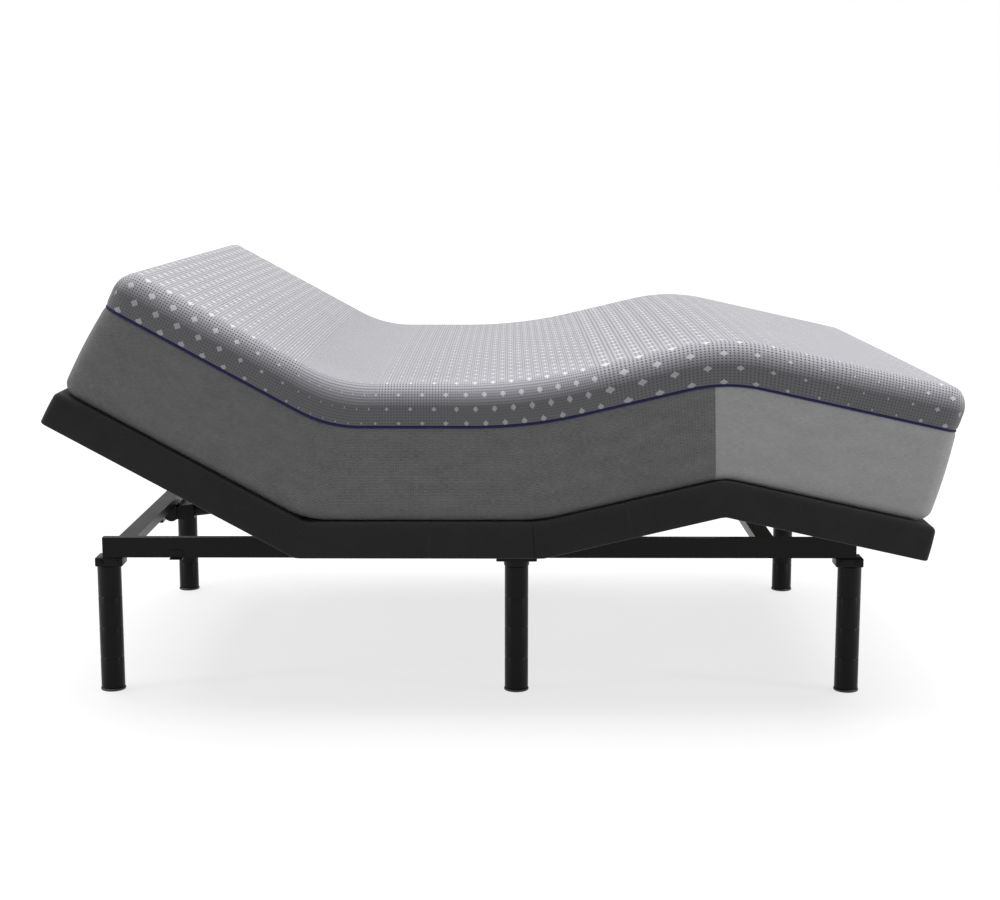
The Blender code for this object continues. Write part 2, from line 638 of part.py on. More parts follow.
lift_axis = (HEAD_BEND_X + LIFT_TUBE_OFFSET[0], AXIS_Z + LIFT_TUBE_OFFSET[1])
CRANK_PIN = (-CRANK_LENGTH * math.cos(math.radians(CRANK_FLAT_ANGLE)),
             CRANK_LENGTH * math.sin(math.radians(CRANK_FLAT_ANGLE)))
lift_tip = swung(LIFT_REACH, HEAD_REST)

bed = empty("bed")
seat_place = empty("seat_place", bed, (HEAD_BEND_X, 0, AXIS_Z))
head_pivot = empty("head_axis", bed, (HEAD_BEND_X, 0, AXIS_Z), HEAD_REST)
thigh_pivot = empty("thigh_axis", bed, (SEAT_BEND_X, 0, AXIS_Z), -THIGH_REST)
knee_pivot = empty("knee_axis", thigh_pivot, (THIGH_LENGTH, 0, 0), THIGH_REST + FOOT_REST)
lift_pivot = empty("lift_axis", bed, (lift_axis[0], 0, lift_axis[1]), HEAD_REST)
link_pivot = empty("link_axis", bed, (lift_axis[0] + lift_tip[0], 0, lift_axis[1] + lift_tip[1]))

make_frame()
make_deck()
make_hinge("head_hinge", seat_place, 0, 1, head_pivot)
make_hinge("seat_hinge", seat_place, SEAT_LENGTH, -1, thigh_pivot)
make_hinge("knee_hinge", thigh_pivot, THIGH_LENGTH, -1, knee_pivot)
make_lift_arm()
make_lift_links()
make_lift_bracket()
make_thigh_lever()
make_actuator("head_actuator", HEAD_MOUNT, crank_pin_at(HEAD_REST),
              distance(HEAD_MOUNT, crank_pin_at(0)), HEAD_TUBE_END, HEAD_ROOM)
make_actuator("thigh_actuator", THIGH_MOUNT, lever_pin_at(THIGH_REST),
              distance(THIGH_MOUNT, lever_pin_at(0)), THIGH_TUBE_END, THIGH_ROOM)
make_tie_links()
centre_on_floor()
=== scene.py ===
import json
import math

import bmesh
import bpy
from mathutils import Matrix, Vector


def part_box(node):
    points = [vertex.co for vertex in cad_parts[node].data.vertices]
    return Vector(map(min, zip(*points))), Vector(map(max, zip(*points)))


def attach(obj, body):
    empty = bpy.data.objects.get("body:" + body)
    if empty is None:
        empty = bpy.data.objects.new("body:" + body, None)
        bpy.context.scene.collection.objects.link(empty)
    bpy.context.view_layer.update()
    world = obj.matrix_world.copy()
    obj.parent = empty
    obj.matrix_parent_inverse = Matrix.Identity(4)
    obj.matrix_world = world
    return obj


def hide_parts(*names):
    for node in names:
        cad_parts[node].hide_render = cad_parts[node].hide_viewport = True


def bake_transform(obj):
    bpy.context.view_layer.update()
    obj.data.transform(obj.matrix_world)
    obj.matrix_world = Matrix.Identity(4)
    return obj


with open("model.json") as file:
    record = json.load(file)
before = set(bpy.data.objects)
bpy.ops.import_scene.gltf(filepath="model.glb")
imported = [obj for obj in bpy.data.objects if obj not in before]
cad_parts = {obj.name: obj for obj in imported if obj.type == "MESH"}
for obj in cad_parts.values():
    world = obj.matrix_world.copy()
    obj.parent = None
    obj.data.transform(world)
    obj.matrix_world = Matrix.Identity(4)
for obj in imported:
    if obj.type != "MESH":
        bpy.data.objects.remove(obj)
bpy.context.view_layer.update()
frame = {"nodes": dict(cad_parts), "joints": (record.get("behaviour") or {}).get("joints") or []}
nodes = frame["nodes"]
jointPlace = {joint["name"]: Vector(joint["pos_m"]) for joint in frame["joints"] if "pos_m" in joint}
print("frame loaded:", len(nodes), "nodes")

scene = bpy.context.scene
scene.view_settings.view_transform = "Standard"

# camera: place in metres, tilt and turn in degrees
cameraSetup = {
    "place": (0.009, -4.553, 1.237),
    "tiltDown": 9.21,      # degrees below level
    "turn": 0.317,
    "lens": 62.95,
}


def makeCamera(setup):
    data = bpy.data.cameras.new("camera")
    data.lens = setup["lens"]
    data.clip_end = 200
    camera = bpy.data.objects.new("camera", data)
    scene.collection.objects.link(camera)
    camera.location = setup["place"]
    camera.rotation_euler = (math.radians(90 - setup["tiltDown"]), 0, math.radians(setup["turn"]))
    scene.camera = camera


makeCamera(cameraSetup)

# soft studio light over a plain pale floor
lightSetup = {
    "sun": {"strength": 4.3, "softness": 70, "lean": (-12, 0, 0)},   # degrees
    "left": {"place": (-4.2, -1.6, 1.0), "aim": (0, 0, 0.3), "size": (0.5, 1.8), "watts": 45},
    "right": {"place": (4.2, -1.6, 1.0), "aim": (0, 0, 0.3), "size": (0.5, 1.8), "watts": 45},
}
roomSetup = {
    "skyShown": 1.0,
    "skyGloss": 0.75,        # how much of it shows in glossy surfaces
    "skyLight": 0.16,
    "floorColour": 0.25,
    "floorGlow": 0.74,       # keeps the shadows on the floor light
    "floorSize": 160,
}


def addLamp(name, kind):
    data = bpy.data.lights.new("light_" + name, kind)
    lamp = bpy.data.objects.new("light_" + name, data)
    scene.collection.objects.link(lamp)
    return lamp, data


def makeLights(setup):
    for name, light in setup.items():
        if name == "sun":       # a wide soft sun lights the whole floor evenly
            lamp, data = addLamp(name, "SUN")
            data.energy = light["strength"]
            data.angle = math.radians(light["softness"])
            lamp.rotation_euler = [math.radians(turn) for turn in light["lean"]]
            continue
        lamp, data = addLamp(name, "AREA")
        data.shape = "RECTANGLE"
        data.size, data.size_y = light["size"]
        data.energy = light["watts"]
        lamp.location = light["place"]
        towards = Vector(light["aim"]) - Vector(light["place"])
        lamp.rotation_euler = towards.to_track_quat("-Z", "Y").to_euler()


def makeRoom(setup):
    world = bpy.data.worlds.new("studio")
    world.use_nodes = True
    tree = world.node_tree
    back = tree.nodes["Background"]
    back.inputs["Color"].default_value = (1, 1, 1, 1)
    seen = tree.nodes.new("ShaderNodeBackground")     # what shows behind the bed
    seen.inputs["Color"].default_value = (1, 1, 1, 1)
    seen.inputs["Strength"].default_value = setup["skyShown"]
    back.inputs["Strength"].default_value = setup["skyLight"]
    path = tree.nodes.new("ShaderNodeLightPath")
    mix = tree.nodes.new("ShaderNodeMixShader")
    gloss = tree.nodes.new("ShaderNodeMath")
    gloss.operation = "MULTIPLY_ADD"
    tree.links.new(path.outputs["Is Glossy Ray"], gloss.inputs[0])
    gloss.inputs[1].default_value = setup["skyGloss"]
    tree.links.new(path.outputs["Is Camera Ray"], gloss.inputs[2])
    tree.links.new(gloss.outputs[0], mix.inputs[0])
    tree.links.new(back.outputs[0], mix.inputs[1])
    tree.links.new(seen.outputs[0], mix.inputs[2])
    tree.links.new(mix.outputs[0], tree.nodes["World Output"].inputs["Surface"])
    scene.world = world

    paint = bpy.data.materials.new("floorPaint")
    paint.use_nodes = True
    shader = paint.node_tree.nodes["Principled BSDF"]
    shader.inputs["Base Color"].default_value = (*[setup["floorColour"]] * 3, 1)
    shader.inputs["Roughness"].default_value = 0.9
    shader.inputs["Specular IOR Level"].default_value = 0.1
    shader.inputs["Emission Color"].default_value = (1, 1, 1, 1)
    shader.inputs["Emission Strength"].default_value = setup["floorGlow"]
    mesh = bpy.data.meshes.new("floor")
    work = bmesh.new()
    bmesh.ops.create_grid(work, x_segments=1, y_segments=1, size=setup["floorSize"] / 2)
    work.to_mesh(mesh)
    work.free()
    floor = bpy.data.objects.new("floor", mesh)
    floor.location.z = -0.0005
    mesh.materials.append(paint)
    scene.collection.objects.link(floor)


makeLights(lightSetup)
makeRoom(roomSetup)
print("camera, lights and floor are set")


# finishes, each from nodes alone
def newMaterial(name, colour, roughness, metallic=0.0):
    made = bpy.data.materials.new(name)
    made.use_nodes = True
    shader = made.node_tree.nodes["Principled BSDF"]
    shader.inputs["Base Color"].default_value = (*colour, 1)
    shader.inputs["Roughness"].default_value = roughness
    shader.inputs["Metallic"].default_value = metallic
    return made, made.node_tree, shader


def calc(tree, operation, first, second=None, third=None):
    node = tree.nodes.new("ShaderNodeMath")
    node.operation = operation
    for socket, value in zip(node.inputs, (first, second, third)):
        if value is None:
            continue
        if isinstance(value, (int, float)):
            socket.default_value = value
        else:
            tree.links.new(value, socket)
    return node.outputs[0]


def heldShare(tree, value):       # kept between 0 and 1
    return calc(tree, "MINIMUM", calc(tree, "MAXIMUM", value, 0.0), 1.0)


def blendColour(tree, share, first, second):
    node = tree.nodes.new("ShaderNodeMix")
    node.data_type = "RGBA"
    tree.links.new(share, node.inputs["Factor"])
    for socket, value in ((node.inputs["A"], first), (node.inputs["B"], second)):
        if isinstance(value, tuple):
            socket.default_value = (*value, 1)
        else:
            tree.links.new(value, socket)
    return node.outputs["Result"]


def addBump(tree, shader, height, distance, strength=1.0):
    bump = tree.nodes.new("ShaderNodeBump")
    bump.inputs["Distance"].default_value = distance
    bump.inputs["Strength"].default_value = strength
    tree.links.new(height, bump.inputs["Height"])
    tree.links.new(bump.outputs["Normal"], shader.inputs["Normal"])


def noiseOn(tree, vector, scale, detail=3.0, stretch=(1, 1, 1)):
    mapping = tree.nodes.new("ShaderNodeMapping")
    mapping.inputs["Scale"].default_value = stretch
    tree.links.new(vector, mapping.inputs["Vector"])
    noise = tree.nodes.new("ShaderNodeTexNoise")
    noise.inputs["Scale"].default_value = scale
    noise.inputs["Detail"].default_value = detail
    tree.links.new(mapping.outputs[0], noise.inputs["Vector"])
    return noise.outputs["Fac"]


def waveOn(tree, place, pitch):
    return calc(tree, "SINE", calc(tree, "MULTIPLY", place, 2 * math.pi / pitch))


def objectPlace(tree):
    return tree.nodes.new("ShaderNodeTexCoord").outputs["Object"]


# x along the cloth and y across it, in metres
def clothPlace(tree):
    layout = tree.nodes.new("ShaderNodeUVMap")
    layout.uv_map = "cloth"
    parts = tree.nodes.new("ShaderNodeSeparateXYZ")
    tree.links.new(layout.outputs[0], parts.inputs[0])
    return parts.outputs["X"], parts.outputs["Y"]


# knitted top: lengths in metres
knitLook = {
    "ground": (0.385, 0.380, 0.410),
    "hole": (0.06, 0.06, 0.068),
    "diamond": (0.66, 0.66, 0.69),
    # painted shade: a darker copy of the diamonds and a shade colour for the ground, laid over the sides
    # and ends where less light falls
    "shadedSideDiamond": (0.26, 0.26, 0.275),
    "shade": (0.03, 0.03, 0.034),
    "bandShade": 0.84,         # how much painted shade darkens the ground over the sides and ends
    "sideFrom": 0.735,         # where the top turns down, across from the middle
    "middle": 0.394,
    "endFrom": 1.005,          # the same along from the middle
    "shadeRun": 0.045,
    "holePitch": 0.0065,
    "holeSize": 0.30,          # share of the pitch
    "holeEdge": 9.0,           # a larger number makes a sharper edge
    "alongPitch": 0.052,
    "rowPitch": 0.032,
    "diamondEdge": 1400.0,
    "relief": 0.0012,
    # place along the mattress from the head bend, and the diamonds' width there
    "widths": ((-0.63, 0.019), (-0.45, 0.018), (-0.05, 0.006), (0.20, 0.009),
               (0.68, 0.018), (0.95, 0.015), (1.22, 0.006), (1.33, 0.011), (1.42, 0.018)),
}


# the diamonds' width at each place along the mattress
def widthCurve(tree, along, widths):
    first, last = widths[0][0], widths[-1][0]
    share = calc(tree, "DIVIDE", calc(tree, "SUBTRACT", along, first), last - first)
    curve = tree.nodes.new("ShaderNodeFloatCurve")
    points = curve.mapping.curves[0].points
    top = max(width for place, width in widths)
    while len(points) < len(widths):
        points.new(0.5, 0.5)
    for point, (place, width) in zip(points, widths):
        point.location = ((place - first) / (last - first), width / top)
    curve.mapping.update()
    tree.links.new(share, curve.inputs["Value"])
    return calc(tree, "MULTIPLY", curve.outputs[0], top)


def makeKnit(look):
    made, tree, shader = newMaterial("mattressKnit", look["ground"], 0.85)
    along, across = clothPlace(tree)
    # round pinholes on a square grid
    pitch = look["holePitch"]
    away = []
    for place in (along, across):
        cell = calc(tree, "SUBTRACT", calc(tree, "FRACT", calc(tree, "DIVIDE", place, pitch)), 0.5)
        away.append(calc(tree, "MULTIPLY", cell, cell))
    far = calc(tree, "SQRT", calc(tree, "ADD", *away))
    hole = heldShare(tree, calc(tree, "MULTIPLY", calc(tree, "SUBTRACT", look["holeSize"], far),
                                look["holeEdge"]))
    # diamonds, every second row moved half a step
    row = calc(tree, "DIVIDE", across, look["rowPitch"])
    shift = calc(tree, "MULTIPLY", calc(tree, "FLOORED_MODULO", calc(tree, "FLOOR", row), 2.0), 0.5)
    step = calc(tree, "ADD", calc(tree, "DIVIDE", along, look["alongPitch"]), shift)
    x = calc(tree, "ABSOLUTE", calc(tree, "SUBTRACT", calc(tree, "FRACT", step), 0.5))
    y = calc(tree, "ABSOLUTE", calc(tree, "SUBTRACT", calc(tree, "FRACT", row), 0.5))
    spread = calc(tree, "ADD", calc(tree, "MULTIPLY", x, look["alongPitch"]),
                  calc(tree, "MULTIPLY", y, look["rowPitch"]))
    half = calc(tree, "MULTIPLY", widthCurve(tree, along, look["widths"]), 0.5)
    diamond = heldShare(tree, calc(tree, "MULTIPLY", calc(tree, "SUBTRACT", half, spread),
                                   look["diamondEdge"]))
    cloudy = noiseOn(tree, objectPlace(tree), 9.0)
    ground = blendColour(tree, cloudy, tuple(c * 0.93 for c in look["ground"]),
                         tuple(c * 1.06 for c in look["ground"]))
    ground = blendColour(tree, hole, ground, look["hole"])
    # painted shade: the knit's ground and diamonds are darkened over the sides and ends, where less light
    # falls than on the top
    sides = calc(tree, "SUBTRACT", calc(tree, "ABSOLUTE", across), look["sideFrom"])
    fromMiddle = calc(tree, "ABSOLUTE", calc(tree, "SUBTRACT", along, look["middle"]))
    ends = calc(tree, "SUBTRACT", fromMiddle, look["endFrom"])
    over = heldShare(tree, calc(tree, "MULTIPLY", calc(tree, "MAXIMUM", sides, ends),
                                1 / look["shadeRun"]))
    ground = blendColour(tree, calc(tree, "MULTIPLY", over, look["bandShade"]), ground,
                         look["shade"])
    thread = blendColour(tree, over, look["diamond"], look["shadedSideDiamond"])
    tree.links.new(blendColour(tree, diamond, ground, thread), shader.inputs["Base Color"])
    raised = calc(tree, "SUBTRACT", calc(tree, "MULTIPLY", diamond, 0.9), hole)
    addBump(tree, shader, raised, look["relief"], 0.7)
    shader.inputs["Sheen Weight"].default_value = 0.25
    shader.inputs["Sheen Roughness"].default_value = 0.5
    return made


# border cloth: its two colours, and its ribs in metres
borderLook = {
    "dark": {"colours": ((0.050, 0.050, 0.052), (0.138, 0.138, 0.141)), "pitch": 0.0034, "depth": 0.0005},
    "light": {"colours": ((0.190, 0.190, 0.192), (0.305, 0.305, 0.307)), "pitch": 0.0026, "depth": 0.0003},
}


# melange cloth: thin ribs along the bed and flecks drawn out along them
def makeBorder(name, look):
    made, tree, shader = newMaterial(name, look["colours"][0], 0.9)
    along, across = clothPlace(tree)
    vector = tree.nodes.new("ShaderNodeCombineXYZ")
    tree.links.new(along, vector.inputs["X"])
    tree.links.new(across, vector.inputs["Y"])
    fleck = noiseOn(tree, vector.outputs[0], 1.0, 2.0, (90, 700, 1))
    cloudy = noiseOn(tree, vector.outputs[0], 1.0, 2.0, (14, 40, 1))
    wave = waveOn(tree, across, look["pitch"])
    weave = waveOn(tree, along, 1.6 * look["pitch"])
    rib = calc(tree, "MULTIPLY_ADD", wave, 0.20, 0.5)
    share = calc(tree, "ADD", rib, calc(tree, "MULTIPLY", weave, 0.08))
    share = calc(tree, "ADD", share, calc(tree, "MULTIPLY_ADD", fleck, 1.5, -0.75))
    share = heldShare(tree, calc(tree, "ADD", share, calc(tree, "MULTIPLY_ADD", cloudy, 0.5, -0.25)))
    tree.links.new(blendColour(tree, share, *look["colours"]), shader.inputs["Base Color"])
    raised = calc(tree, "ADD", wave, calc(tree, "MULTIPLY", fleck, 1.2))
    addBump(tree, shader, raised, look["depth"], 0.6)
    shader.inputs["Sheen Weight"].default_value = 0.15
    return made


def makePipingCloth():
    made, tree, shader = newMaterial("pipingTape", (0.020, 0.018, 0.075), 0.6)
    fleck = noiseOn(tree, objectPlace(tree), 900.0, 1.0)
    tree.links.new(blendColour(tree, fleck, (0.006, 0.005, 0.034), (0.018, 0.015, 0.085)),
                   shader.inputs["Base Color"])
    shader.inputs["Specular IOR Level"].default_value = 0.15
    return made


# near-black twill on the deck: lengths in metres
twillLook = {
    "colours": ((0.004, 0.004, 0.0045), (0.017, 0.017, 0.018)),
    "pitch": 0.0056,
    "threadPitch": 0.0031,
    "relief": 0.0006,
}


def makeDeckCloth():
    made, tree, shader = newMaterial("deckTwill", (0.012, 0.012, 0.013), 0.82)
    shader.inputs["Specular IOR Level"].default_value = 0.2
    along, across = clothPlace(tree)
    slant = calc(tree, "ADD", calc(tree, "MULTIPLY", along, 0.8), across)
    wave = waveOn(tree, slant, twillLook["pitch"])
    thread = waveOn(tree, calc(tree, "SUBTRACT", along, across), twillLook["threadPitch"])
    share = calc(tree, "MULTIPLY_ADD", wave, 0.32, 0.5)
    share = calc(tree, "ADD", share, calc(tree, "MULTIPLY", thread, 0.12))
    cloudy = noiseOn(tree, objectPlace(tree), 14.0)
    share = heldShare(tree, calc(tree, "ADD", share, calc(tree, "MULTIPLY_ADD", cloudy, 0.5, -0.25)))
    tree.links.new(blendColour(tree, share, *twillLook["colours"]), shader.inputs["Base Color"])
    addBump(tree, shader, share, twillLook["relief"], 0.8)
    shader.inputs["Sheen Weight"].default_value = 0.1
    shader.inputs["Sheen Roughness"].default_value = 0.4
    return made


# powder coat: slightly pebbled, a little duller in places
paintLook = {
    "frame": {"colour": (0.003, 0.003, 0.0035), "roughness": 0.36, "pebble": 0.0002, "gloss": 0.13},
    "leg": {"colour": (0.002, 0.002, 0.0025), "roughness": 0.34, "pebble": 0.0001, "gloss": 0.13},
}


def makePaint(name, look):
    colour, roughness = look["colour"], look["roughness"]
    made, tree, shader = newMaterial(name, colour, roughness)
    place = objectPlace(tree)
    pebble = noiseOn(tree, place, 260.0, 2.0)
    smudge = noiseOn(tree, place, 7.0, 3.0)
    tree.links.new(blendColour(tree, smudge, tuple(c * 0.8 for c in colour),
                               tuple(c * 1.3 for c in colour)), shader.inputs["Base Color"])
    rough = calc(tree, "MULTIPLY_ADD", smudge, 0.16, roughness - 0.08)
    tree.links.new(rough, shader.inputs["Roughness"])
    addBump(tree, shader, pebble, look["pebble"], 0.5)
    shader.inputs["Specular IOR Level"].default_value = look["gloss"]
    return made


# bright zinc, drawn lengthwise
def makeZinc():
    made, tree, shader = newMaterial("zincPlate", (0.52, 0.52, 0.54), 0.34, 1.0)
    place = objectPlace(tree)
    brushed = noiseOn(tree, place, 60.0, 3.0, (1, 12, 12))
    tree.links.new(blendColour(tree, brushed, (0.42, 0.42, 0.43), (0.62, 0.62, 0.64)),
                   shader.inputs["Base Color"])
    tree.links.new(calc(tree, "MULTIPLY_ADD", brushed, 0.25, 0.22), shader.inputs["Roughness"])
    return made


# plywood stained near black
def makePlywood():
    made, tree, shader = newMaterial("plywoodFace", (0.045, 0.040, 0.035), 0.62)
    place = objectPlace(tree)
    wobble = noiseOn(tree, place, 3.0, 4.0, (1, 7, 1))
    axis = tree.nodes.new("ShaderNodeSeparateXYZ")
    tree.links.new(place, axis.inputs[0])
    ring = calc(tree, "MULTIPLY_ADD", axis.outputs["Y"], 26.0, calc(tree, "MULTIPLY", wobble, 9.0))
    grain = calc(tree, "MULTIPLY_ADD", calc(tree, "SINE", calc(tree, "MULTIPLY", ring, 6.3)), 0.3, 0.5)
    fine = noiseOn(tree, place, 40.0, 3.0, (1, 30, 30))
    share = calc(tree, "MULTIPLY", calc(tree, "ADD", grain, fine), 0.55)
    tree.links.new(blendColour(tree, share, (0.022, 0.020, 0.018), (0.060, 0.054, 0.048)),
                   shader.inputs["Base Color"])
    addBump(tree, shader, fine, 0.0003, 0.5)
    return made


def makePlastic():
    made, tree, shader = newMaterial("mouldedPlastic", (0.014, 0.014, 0.015), 0.5)
    grain = noiseOn(tree, objectPlace(tree), 420.0, 2.0)
    tree.links.new(blendColour(tree, grain, (0.010, 0.010, 0.011), (0.022, 0.022, 0.023)),
                   shader.inputs["Base Color"])
    addBump(tree, shader, grain, 0.0002, 0.7)
    return made


knit = makeKnit(knitLook)
darkBorder = makeBorder("borderDark", borderLook["dark"])
lightBorder = makeBorder("borderLight", borderLook["light"])
pipingTape = makePipingCloth()
deckTwill = makeDeckCloth()
framePaint = makePaint("framePaint", paintLook["frame"])
legPaint = makePaint("legPaint", paintLook["leg"])
zincPlate = makeZinc()
plywoodFace = makePlywood()
mouldedPlastic = makePlastic()
print("finishes are made")



# each carried-over part takes the finish of its kind
def finishFor(name):
    if "board" in name:
        return plywoodFace
    if name.endswith(("push_rod", "leaf")) or "link" in name or name == "head_lift_arm":
        return zincPlate
    if "motor" in name or "glide" in name or name == "control_box":
        return mouldedPlastic
    if name.startswith("leg_") and "bracket" not in name:
        return legPaint
    return framePaint


for name, node in nodes.items():
    for materialSlot in node.material_slots:
        materialSlot.material = finishFor(name)

# the bent line that the deck and the mattress follow
# a place along the bed is measured flat, in metres from the head bend; a height is above the hinge line
bedLine = {
    "headLength": 0.636,
    "footLength": 0.462,
    "headSlope": -28.7,       # degrees, falling towards the foot
    "footSlope": -12.5,
    "deckBase": 0.005,
    "deckTop": 0.085,
    "seatCut": 0.30,          # where one cover or mattress piece ends and the next starts
}

headAxis, thighAxis, kneeAxis = (jointPlace[name] for name in ("head_lift", "thigh_lift", "knee_bend"))
thighRun = kneeAxis - thighAxis
thighSlope = math.atan2(thighRun.z, thighRun.x)
seatEnd = (thighAxis - headAxis).length
thighEnd = seatEnd + thighRun.length
slopes = [math.radians(bedLine["headSlope"]), 0.0, thighSlope, math.radians(bedLine["footSlope"])]
origins = [headAxis, headAxis, thighAxis, kneeAxis]
originPlace = [0.0, 0.0, seatEnd, thighEnd]
bendPlace = [0.0, seatEnd, thighEnd]
bendNames = ["head", "middle", "foot"]
cuts = [bedLine["seatCut"], (seatEnd + thighEnd) / 2]


def onSection(index, along, height):
    slope, origin = slopes[index], origins[index]
    run = along - originPlace[index]
    return Vector((origin.x + run * math.cos(slope) - height * math.sin(slope),
                   origin.z + run * math.sin(slope) + height * math.cos(slope)))


# share 0 to 1 of a straight, curved, straight path round a corner
def roundCorner(start, corner, end, radiusRun, share):
    before, after = (corner - start).length, (end - corner).length
    radiusRun = min(radiusRun, before, after)
    curveStart = corner.lerp(start, radiusRun / before)
    curveEnd = corner.lerp(end, radiusRun / after)
    curveLength = (2 * (curveEnd - curveStart).length + 2 * radiusRun) / 3
    straight = [before - radiusRun, after - radiusRun]
    run = share * (straight[0] + curveLength + straight[1])
    if run <= straight[0]:
        return start.lerp(curveStart, run / straight[0] if straight[0] > 0 else 1.0)
    if run <= straight[0] + curveLength:
        t = (run - straight[0]) / curveLength
        return curveStart.lerp(corner, t).lerp(corner.lerp(curveEnd, t), t)
    return curveEnd.lerp(end, (run - straight[0] - curveLength) / straight[1])


# each bend's (zone below, zone above, rounding below, rounding above)
def bentPoint(form, along, height):
    share = (height - form["low"]) / (form["high"] - form["low"])
    for index, (zoneLow, zoneHigh, roundLow, roundHigh) in enumerate(form["bends"]):
        zone = zoneLow + (zoneHigh - zoneLow) * share
        place = bendPlace[index]
        if abs(along - place) < zone:
            turn = slopes[index + 1] - slopes[index]
            corner = onSection(index, place - height * math.tan(turn / 2), height)
            return roundCorner(onSection(index, place - zone, height), corner,
                               onSection(index + 1, place + zone, height),
                               roundLow + (roundHigh - roundLow) * share,
                               (along - place + zone) / (2 * zone))
    index = sum(along > place for place in bendPlace)
    return onSection(index, along, height)


def clamp(value, low, high):
    return min(max(value, low), high)


# a place in the flat block, rounded at its edges, swollen, and bent with the bed
def shapedPoint(form, along, across, height):
    corner, edge = form["corner"], form["topEdge"]
    coreAlong = clamp(along, form["from"] + corner, form["to"] - corner)
    coreAcross = clamp(across, corner - form["half"], form["half"] - corner)
    coreHeight = clamp(height, form["low"] + form["bottomEdge"], form["high"] - edge)
    rise = edge if height > coreHeight else form["bottomEdge"]
    step = Vector(((along - coreAlong) / corner, (across - coreAcross) / corner,
                   (height - coreHeight) / rise))
    reach = max(abs(value) for value in step)
    if reach > 0:
        step *= reach / step.length
        along, across = coreAlong + step.x * corner, coreAcross + step.y * corner
        height = coreHeight + step.z * rise
        side = math.hypot(step.x, step.y)
        if side > 0:
            out = form["sideOut"](along, height) * side * reach
            along += out * step.x / side
            across += out * step.y / side
    height += form["crown"](along, across, height)
    if form["lean"]:
        nearEnd = clamp((along - form["to"] + 0.22) / 0.2, 0, 1)
        along += math.tan(math.radians(form["lean"])) * (height - form["low"]) * nearEnd
    x, z = bentPoint(form, along, height)
    return Vector((x, across, z))


def edgeArc(place, limit, radius):
    over = abs(place) - (limit - radius)
    if over <= 0:
        return place
    return math.copysign(limit - radius + radius * math.atan(over / radius), place)


def dropBelow(form, height):
    edge = form["topEdge"]
    over = height - (form["high"] - edge)
    if over > 0:
        return edge * (math.pi / 4 - math.atan(over / edge))
    return edge * math.pi / 4 - over


# where a point of one face of the block lies on the cloth
def clothPoint(form, face, along, across, height):
    middle, run = (form["from"] + form["to"]) / 2, (form["to"] - form["from"]) / 2
    corner = form["corner"]
    u = middle + edgeArc(along - middle, run, corner)
    v = edgeArc(across, form["half"], corner)
    down = dropBelow(form, height)
    if face in ("left", "right"):
        v = math.copysign(form["half"] - corner * (1 - math.pi / 4) + down, across)
    elif face in ("headEnd", "footEnd"):
        u = middle + math.copysign(run - corner * (1 - math.pi / 4) + down, along - middle)
    return u, v


def steps(low, high, pitch):
    count = max(1, round((high - low) / pitch))
    return [low + (high - low) * n / count for n in range(count + 1)]


def chain(*runs):
    joined = []
    for run in runs:
        joined += [value for value in run if not joined or value > joined[-1] + 1e-6]
    return joined


# one closed block between stations, without the faces in openFaces; a cut face gets a sharp rim
def buildBlock(name, form, alongs, acrosses, heights, finish, openFaces=()):
    work = bmesh.new()
    cloth = work.loops.layers.uv.new("cloth")
    counts = (len(alongs), len(acrosses), len(heights))
    last = tuple(count - 1 for count in counts)
    corners = {}

    def vertexAt(key):
        if key not in corners:
            corners[key] = work.verts.new(shapedPoint(form, alongs[key[0]], acrosses[key[1]],
                                                      heights[key[2]]))
        return corners[key]

    faces = {"headEnd": (0, 0), "footEnd": (0, last[0]), "right": (1, 0), "left": (1, last[1]),
             "bottom": (2, 0), "top": (2, last[2])}
    skin = {"headEnd": alongs[0] <= form["from"], "footEnd": alongs[-1] >= form["to"],
            "bottom": heights[0] <= form["low"], "top": heights[-1] >= form["high"]}
    cutFaces = set()
    for faceName, (fixed, at) in faces.items():
        if faceName in openFaces:
            continue
        first, second = [axis for axis in (0, 1, 2) if axis != fixed]
        outward = (at > 0) != (fixed == 1)
        for a in range(last[first]):
            for b in range(last[second]):
                keys = []
                for da, db in ((0, 0), (1, 0), (1, 1), (0, 1)):
                    key = [0, 0, 0]
                    key[fixed], key[first], key[second] = at, a + da, b + db
                    keys.append(tuple(key))
                if not outward:
                    keys.reverse()
                face = work.faces.new([vertexAt(key) for key in keys])
                face.smooth = True
                if not skin.get(faceName, True):
                    cutFaces.add(face)
                for loop, key in zip(face.loops, keys):
                    place = (alongs[key[0]], acrosses[key[1]], heights[key[2]])
                    loop[cloth].uv = clothPoint(form, faceName, *place)
    for edge in work.edges:
        if sum(face in cutFaces for face in edge.link_faces) == 1:
            edge.smooth = False
    mesh = bpy.data.meshes.new(name)
    work.to_mesh(mesh)
    work.free()
    mesh.materials.append(finish)
    piece = bpy.data.objects.new(name, mesh)
    scene.collection.objects.link(piece)
    return piece


def applyModifiers(piece):
    graph = bpy.context.evaluated_depsgraph_get()
    mesh = bpy.data.meshes.new_from_object(piece.evaluated_get(graph), depsgraph=graph)
    piece.modifiers.clear()
    piece.data = mesh


# bakes a finished piece's transform into its mesh
def bendWith(piece):
    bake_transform(piece)


# upholstered deck covers: lengths in metres
deckLook = {
    "pitch": 0.012,
    "edgePitch": 0.0035,
    "acrossPitch": 0.05,
    "shell": 0.008,
    "belly": 0.0012,
    "seamAt": seatEnd - 0.022,
    "seamDepth": 0.0022,
    "seamHalf": 0.0022,
    "blend": 0.045,
}


def deckSideOut(along, height):
    seam = (along - deckLook["seamAt"]) / deckLook["seamHalf"]
    thick = bedLine["deckTop"] - bedLine["deckBase"]
    belly = math.sin(math.pi * clamp((height - bedLine["deckBase"]) / thick, 0, 1))
    return deckLook["belly"] * belly - deckLook["seamDepth"] * math.exp(-seam * seam)


